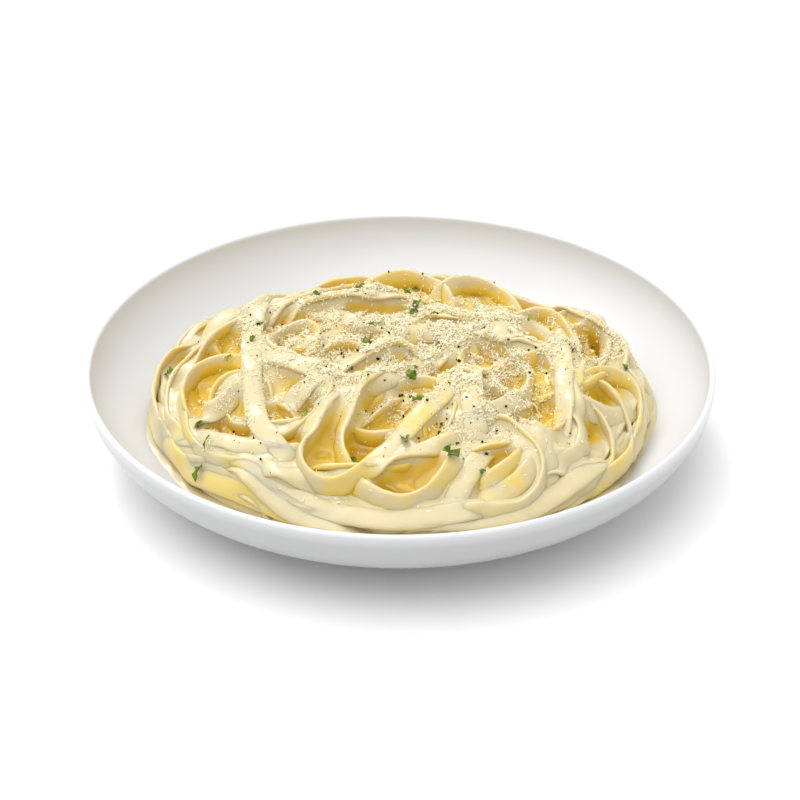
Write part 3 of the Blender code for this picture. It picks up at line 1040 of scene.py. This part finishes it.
def surface_tilt(field, x, y):
    """Matrices that turn +Z to the heap's normal at each point, from the slope over two millimetres."""
    d = 1.0
    slope_x = (sample(field, x + d, y) - sample(field, x - d, y)) / (2.0 * d)
    slope_y = (sample(field, x, y + d) - sample(field, x, y - d)) / (2.0 * d)
    normal = np.stack([-slope_x, -slope_y, np.ones_like(x)], axis=1)
    normal /= np.linalg.norm(normal, axis=1)[:, None]
    first = np.cross(np.array([0.0, 1.0, 0.0]), normal)
    first /= np.linalg.norm(first, axis=1)[:, None]
    return np.stack([first, np.cross(normal, first), normal], axis=2)


# Where grated cheese fell: (x, y, spread, weight) in mm.
CHEESE_FALLS = (
    (-6, 24, 14, 0.9), (22, 20, 12, 0.9), (-26, 6, 15, 0.6), (8, 6, 18, 0.9), (34, -8, 15, 0.8),
    (38, -32, 8, 0.9), (-8, -16, 14, 0.5), (78, 18, 9, 0.9), (55, 8, 10, 0.5), (-54, 20, 7, 0.5),
    (-30, -20, 12, 0.35),
    (-60, -34, 10, 0.2), (28, -50, 10, 0.25))


def fallen(x, y, falls):
    """Share of the heap covered at each point: the sum of round, soft-edged falls."""
    return sum(
        weight * np.exp(-((x - cx) ** 2 + (y - cy) ** 2) / (2.0 * size * size))
        for cx, cy, size, weight in falls)


def cheese_cover(x, y):
    """How thick the cheese lies, from 0 to about 1, in uneven clumps."""
    here = np.stack([x, y], axis=-1)
    clump = 0.55 + 0.55 * ripple(here, 17.0, 61) + 0.40 * ripple(here, 5.5, 62)
    return np.clip(fallen(x, y, CHEESE_FALLS) * clump, 0.0, 1.0)


def strew(rng, wanted, tries, chance, limit):
    """Random places in the heap: each try is kept by the chance at its place, up to the number wanted."""
    x, y = rng.uniform(-HEAP_RADIUS, HEAP_RADIUS, (tries, 2)).T
    keep = (rng.uniform(0.0, 1.0, tries) < chance(x, y)) & (np.hypot(x, y) < limit(x, y))
    return x[keep][:wanted], y[keep][:wanted]


def make_cheese(settings, laid, finish):
    """Grated cheese: short three-sided crumbs, piled where the cover is thick."""
    rng = np.random.default_rng(23)
    x, y = strew(
        rng, settings.cheese, settings.cheese * 10,
        lambda a, b: cheese_cover(a, b) + 0.004,
        lambda a, b: heap_radius(np.arctan2(b, a)) - 4.0)
    cover = cheese_cover(x, y)
    count = len(x)
    smooth_top = smooth_field(laid["field"], 1.0)
    z = np.maximum(sample(laid["field"], x, y), cream_level(laid, x, y)) + 0.1
    z += 1.5 * cover * rng.uniform(0.0, 1.0, count)
    turn = 2.0 * math.pi * np.arange(3) / 3.0
    section = np.stack([np.zeros(3), np.cos(turn), np.sin(turn)], axis=1)
    corner = np.concatenate([section - (1.0, 0.0, 0.0), section + (1.0, 0.0, 0.0)])
    thin = rng.uniform(0.16, 0.30, count)
    size = np.stack([rng.uniform(0.20, 0.70, count), thin, 0.8 * thin], axis=1)
    body = corner[None] * size[:, None] * rng.uniform(0.6, 1.3, (count, 6, 1))
    turn = surface_tilt(smooth_top, x, y) @ random_turns(rng, count, 0.5)
    body = np.einsum("nij,nkj->nki", turn, body) + np.stack([x, y, z], axis=1)[:, None]
    first = 6 * np.arange(count)[:, None, None]
    quads = np.array([(0, 1, 4, 3), (1, 2, 5, 4), (2, 0, 3, 5)])[None] + first
    ends = np.array([(0, 2, 1), (3, 4, 5)])[None] + first
    return make_piece(
        "grated_cheese", body.reshape(-1, 3), quads.reshape(-1, 4), ends.reshape(-1, 3), finish, smooth=False)


# Parsley, listed: (x, y, length, width, turn in degrees) in mm.
PARSLEY = (
    (-89, 6, 4.6, 3.4, 150), (-56, 0, 3.6, 2.2, 60), (-54, 15, 3.0, 1.3, 20), (-33, 34, 3.4, 2.2, 130),
    (-20, 51, 2.6, 1.6, 100), (-16, 42, 4.2, 2.8, 10), (-12, 14, 4.8, 4.2, 80), (-14, 1, 6.0, 5.0, 15),
    (6, 50, 3.2, 2.6, 60), (6, 27, 8.0, 3.2, 65), (3, 36, 3.4, 2.4, 40), (13, 21, 3.0, 2.0, 150),
    (17, 16, 4.0, 3.0, 170),
    (15, -1, 3.2, 3.6, 80), (4, -25, 5.2, 4.2, 130), (7, -38, 5.0, 3.4, 0), (52, 5, 3.0, 1.6, 150),
    (64, 3, 3.6, 2.2, 60), (86, -2, 3.4, 2.4, 110), (-35, -45, 4.6, 3.6, 120), (-74, -40, 3.4, 2.0, 10),
    (-73, -59, 6.5, 2.2, 60), (-70, -53, 7.0, 0.9, 70), (2, -60, 5.0, 3.6, 95), (-17, -65, 4.4, 3.0, 100),
    (18, -71, 6.4, 5.0, 140),
)


def leaf_points(length, width, rng):
    """One flake: a grid along and across a leaf piece whose outline has lobes, curled and creased."""
    rows, columns = 9, 5
    u, v = np.meshgrid(np.linspace(-1.0, 1.0, rows), np.linspace(-1.0, 1.0, columns), indexing="ij")
    phase = rng.uniform(0.0, 6.28, 4)
    lobe = np.sqrt(np.maximum(0.0, 1.0 - u ** 4)) * (0.75 + 0.25 * np.sin(5.0 * u + phase[0])) + 0.08
    x = 0.5 * length * (u + 0.12 * v * np.sin(3.0 * u + phase[1]))
    y = 0.5 * width * v * lobe * (1.0 + 0.25 * np.sin(7.0 * u + phase[2]) * np.abs(v))
    curl = rng.uniform(0.15, 0.5) * width
    z = curl * v * v * lobe + 0.12 * length * np.sin(2.0 * u + phase[3]) + 0.08 * width * np.sin(6.0 * u) * v
    top = np.stack([x, y, z + 0.09], axis=-1).reshape(-1, 3)
    low = np.stack([x, y, z - 0.09], axis=-1).reshape(-1, 3)
    return np.vstack([top, low]), rows, columns


def make_parsley(settings, laid, finish):
    """Parsley flakes: the listed ones, then a few strewn at random."""
    rng = np.random.default_rng(5)
    angle = rng.uniform(0.0, 2.0 * math.pi, settings.parsley)
    radius = 0.85 * HEAP_RADIUS * np.sqrt(rng.uniform(0.0, 1.0, settings.parsley))
    extra = [
        (r * math.cos(a), r * math.sin(a), rng.uniform(2.0, 3.6), rng.uniform(1.2, 2.2), rng.uniform(0, 360))
        for r, a in zip(radius, angle)]
    points = []
    quads = []
    offset = 0
    top = smooth_field(laid["ceiling"], 1.5)
    raised = smooth_field(spread(laid["field"], 1.0), 1.0)
    for x, y, length, width, turn in tuple(PARSLEY) + tuple(extra):
        flake, rows, columns = leaf_points(length, width, rng)
        a = math.radians(turn)
        spin = np.array([[math.cos(a), -math.sin(a), 0.0], [math.sin(a), math.cos(a), 0.0], [0.0, 0.0, 1.0]])
        px, py = np.array([x]), np.array([y])
        tilt = surface_tilt(top, px, py)[0]
        lift = float(sample(raised, px, py)[0]) + 0.25 + 0.1 * width
        flake = flake @ (tilt @ spin).T + (x, y, lift)
        body = grid_faces(rows, columns)
        half = rows * columns
        edge = grid_edge(rows, columns)
        after = np.roll(edge, -1)
        rim = np.stack([edge, after, after + half, edge + half], axis=1)
        quads.append(np.vstack([body[:, ::-1], body + half, rim]) + offset)
        points.append(flake)
        offset += len(flake)
    return make_piece("parsley", np.vstack(points), np.vstack(quads), None, finish)


PEPPER_REACH = 88.0             # no pepper lies farther from the middle
PEPPER_LEAST = 0.19             # half size of the smallest speck
PEPPER_SPREAD = 0.50            # and how much more the largest has


# Where pepper fell: (x, y, spread, weight) in mm.
PEPPER_FALLS = (
    (28, -52, 9, 0.9), (-5, -20, 16, 0.5), (45, -40, 10, 0.5), (-68, -48, 8, 0.5), (10, 8, 20, 0.4),
    (-40, 8, 14, 0.35), (54, 0, 14, 0.3))


def make_pepper(settings, laid, finish):
    """Ground pepper: icosahedra with every corner pushed in or out, strewn where the seasoning fell."""
    rng = np.random.default_rng(11)
    golden = 0.5 * (1.0 + math.sqrt(5.0))
    base = np.array([(-1, golden, 0), (1, golden, 0), (-1, -golden, 0), (1, -golden, 0),
                     (0, -1, golden), (0, 1, golden), (0, -1, -golden), (0, 1, -golden),
                     (golden, 0, -1), (golden, 0, 1), (-golden, 0, -1), (-golden, 0, 1)]) / 1.9
    faces = np.array([(0, 11, 5), (0, 5, 1), (0, 1, 7), (0, 7, 10), (0, 10, 11), (1, 5, 9), (5, 11, 4),
                      (11, 10, 2), (10, 7, 6), (7, 1, 8), (3, 9, 4), (3, 4, 2), (3, 2, 6), (3, 6, 8),
                      (3, 8, 9), (4, 9, 5), (2, 4, 11), (6, 2, 10), (8, 6, 7), (9, 8, 1)])
    x, y = strew(
        rng, settings.pepper, settings.pepper * 12,
        lambda a, b: fallen(a, b, PEPPER_FALLS) + 0.02,
        lambda a, b: PEPPER_REACH)
    count = len(x)
    size = PEPPER_LEAST + PEPPER_SPREAD * rng.uniform(0.0, 1.0, count) ** 2.0
    body = base[None] * size[:, None, None] * rng.uniform(0.65, 1.25, (count, 12, 1))
    body = body * rng.uniform(0.7, 1.3, (count, 1, 3))
    z = np.maximum(sample(laid["field"], x, y), cream_level(laid, x, y)) + 0.35
    body = body + np.stack([x, y, z], axis=1)[:, None]
    triangles = (faces[None] + 12 * np.arange(count)[:, None, None]).reshape(-1, 3)
    no_quads = np.empty((0, 4), dtype=int)
    return make_piece("ground_pepper", body.reshape(-1, 3), no_quads, triangles, finish, smooth=False)

# ---- Operators ---------------------------------------------------------------------------------

class MakeBowl(bpy.types.Operator):
    """Spins the bowl's fine section round its axis."""
    bl_idname = "pasta.make_bowl"
    bl_label = "Bowl"

    def execute(self, context):
        section = bowl_section()
        steps = 192
        turn = 2.0 * math.pi * np.arange(steps) / steps
        ring = np.stack([np.cos(turn), np.sin(turn)], axis=1)
        body = section[1:-1]
        grid = np.empty((len(body), steps, 3))
        grid[..., :2] = body[:, 0, None, None] * ring[None]
        grid[..., 2] = body[:, 1, None]
        hubs = np.array([[0.0, 0.0, section[0, 1]], [0.0, 0.0, section[-1, 1]]])
        points = np.vstack([grid.reshape(-1, 3), hubs])
        low = len(body) * steps
        i = np.arange(steps)
        j = (i + 1) % steps
        under = np.stack([np.full(steps, low), j, i], axis=1)
        last = (len(body) - 1) * steps
        over = np.stack([np.full(steps, low + 1), i + last, j + last], axis=1)
        # The outside mask covers the underside and the outer wall up to near the lip, which take the painted
        # shade colour.
        along = np.arange(len(section)) / np.argmax(section[:, 1])
        outside = np.clip((0.95 - along) * 14.0, 0.0, 1.0)
        outside = np.concatenate([np.repeat(outside[1:-1], steps), outside[[0, -1]]])
        piece = make_piece(
            "porcelain_bowl", points, grid_faces(len(body), steps, wrap_columns=True),
            np.vstack([under, over]), porcelain_material(context.scene.pasta_bowl), {"outside": outside})
        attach(piece, "root")
        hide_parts("bowl")
        return {"FINISHED"}


class MakeNoodles(bpy.types.Operator):
    """Lays the noodles one on another and joins them in pieces of a limited size."""
    bl_idname = "pasta.make_noodles"
    bl_label = "Noodles"

    def execute(self, context):
        scene = context.scene
        HEAP.clear()
        laid = heap()
        finish = noodle_material(scene.pasta_noodles, scene.pasta_cream)
        strands = laid["strands"]
        loads = np.cumsum([len(strand["middle"]) for strand in strands]) * 2 * SECTION
        first = 0
        part = 0
        while first < len(strands):
            used = loads[first - 1] if first else 0
            last = int(np.searchsorted(loads, used + NOODLE_LOAD))
            last = max(last, first + 1)
            piece = strands_to_piece(
                f"noodles_{part + 1}", strands[first:last], first, laid["ceiling"], finish)
            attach(piece, "root")
            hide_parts("noodles")
            first = last
            part += 1
        return {"FINISHED"}


class MakeCream(bpy.types.Operator):
    """Fills the narrow gaps of the heap with cream and lays the sauce's skirt round its foot."""
    bl_idname = "pasta.make_cream"
    bl_label = "Cream"

    def execute(self, context):
        scene = context.scene
        laid = heap()
        finish = cream_material(scene.pasta_noodles, scene.pasta_cream)
        core = make_core(laid, finish)
        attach(core, "root")
        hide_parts("noodles")
        skirt = make_skirt(finish)
        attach(skirt, "root")
        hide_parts("sauce")
        return {"FINISHED"}


class MakeToppings(bpy.types.Operator):
    """Strews the grated cheese, the parsley and the pepper."""
    bl_idname = "pasta.make_toppings"
    bl_label = "Cheese, parsley and pepper"

    def execute(self, context):
        settings = context.scene.pasta_toppings
        laid = heap()
        for piece in (
                make_cheese(settings, laid, cheese_material()),
                make_parsley(settings, laid, leaf_material(settings)),
                make_pepper(settings, laid, pepper_material())):
            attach(piece, "root")
        return {"FINISHED"}


FLOOR_REACH = 6000.0            # half the floor's side
LOOK_AT = (0.0, 0.0, 0.017)     # where the lights and the camera point, in metres


class MakeStage(bpy.types.Operator):
    """Sets the pale floor, the soft light and the camera."""
    bl_idname = "pasta.make_stage"
    bl_label = "Floor, light and camera"

    def execute(self, context):
        scene = context.scene
        settings = scene.pasta_stage
        made, _, _, shader = new_material("white_floor", Roughness=0.9, Specular_IOR_Level=0.0)
        shader.inputs["Base Color"].default_value = (0.95, 0.95, 0.95, 1.0)
        corners = FLOOR_REACH * np.array([(-1.0, -1.0, 0.0), (1.0, -1.0, 0.0), (1.0, 1.0, 0.0),
                                          (-1.0, 1.0, 0.0)])
        floor = make_piece("floor", corners, np.array([(0, 1, 2, 3)]), None, made, smooth=False)
        world = bpy.data.worlds.new("soft_white")
        world.use_nodes = True
        world.node_tree.nodes["Background"].inputs["Color"].default_value = (1.0, 1.0, 1.0, 1.0)
        world.node_tree.nodes["Background"].inputs["Strength"].default_value = settings.fill
        scene.world = world
        middle = Vector(LOOK_AT)
        for name, energy, spread_angle, place in (
                ("softbox", settings.key, 70.0, (-0.36, -0.04, 1.2)),
                ("window", settings.rear, 20.0, (-0.30, 0.85, 0.85))):
            sun = bpy.data.lights.new(name, "SUN")
            sun.energy = energy
            sun.angle = math.radians(spread_angle)
            lamp = bpy.data.objects.new(name, sun)
            lamp.location = place
            lamp.rotation_euler = (middle - lamp.location).to_track_quat("-Z", "Y").to_euler()
            scene.collection.objects.link(lamp)
        camera_data = bpy.data.cameras.new("camera")
        camera_data.lens = settings.lens
        camera_data.sensor_width = 36.0
        camera = bpy.data.objects.new("camera", camera_data)
        back = Vector((0.0, -math.cos(settings.elevation), math.sin(settings.elevation)))
        camera.location = middle + back * settings.distance
        camera.rotation_euler = (middle - camera.location).to_track_quat("-Z", "Y").to_euler()
        scene.collection.objects.link(camera)
        scene.camera = camera
        scene.view_settings.view_transform = "Standard"
        return {"FINISHED"}

# ---- Panel and registration --------------------------------------------------------------------

class PastaPanel(bpy.types.Panel):
    """Lists the pieces and their settings."""
    bl_idname = "VIEW3D_PT_pasta"
    bl_label = "Fettuccine alfredo"
    bl_space_type = "VIEW_3D"
    bl_region_type = "UI"
    bl_category = "Pasta"

    def draw(self, context):
        for operator, group in STEPS:
            box = self.layout.box()
            box.operator(operator.bl_idname)
            settings = getattr(context.scene, group)
            for key in settings.__annotations__:
                box.prop(settings, key)


STEPS = (
    (MakeStage, "pasta_stage"),
    (MakeBowl, "pasta_bowl"),
    (MakeNoodles, "pasta_noodles"),
    (MakeCream, "pasta_cream"),
    (MakeToppings, "pasta_toppings"),
)


GROUPS = (
    ("pasta_bowl", BowlSettings),
    ("pasta_noodles", NoodleSettings),
    ("pasta_cream", CreamSettings),
    ("pasta_toppings", ToppingSettings),
    ("pasta_stage", StageSettings),
)


def register():
    """Adds the settings, the operators and the panel."""
    for name, group in GROUPS:
        bpy.utils.register_class(group)
        setattr(bpy.types.Scene, name, bpy.props.PointerProperty(type=group))
    for operator, _ in STEPS:
        bpy.utils.register_class(operator)
    bpy.utils.register_class(PastaPanel)


def unregister():
    """Takes them away again."""
    bpy.utils.unregister_class(PastaPanel)
    for operator, _ in reversed(STEPS):
        bpy.utils.unregister_class(operator)
    for name, group in reversed(GROUPS):
        delattr(bpy.types.Scene, name)
        bpy.utils.unregister_class(group)


def main():
    """Runs every operator in turn."""
    register()
    for operator, _ in STEPS:
        category, name = operator.bl_idname.split(".")
        getattr(getattr(bpy.ops, category), name)()


if __name__ == "__main__":
    main()
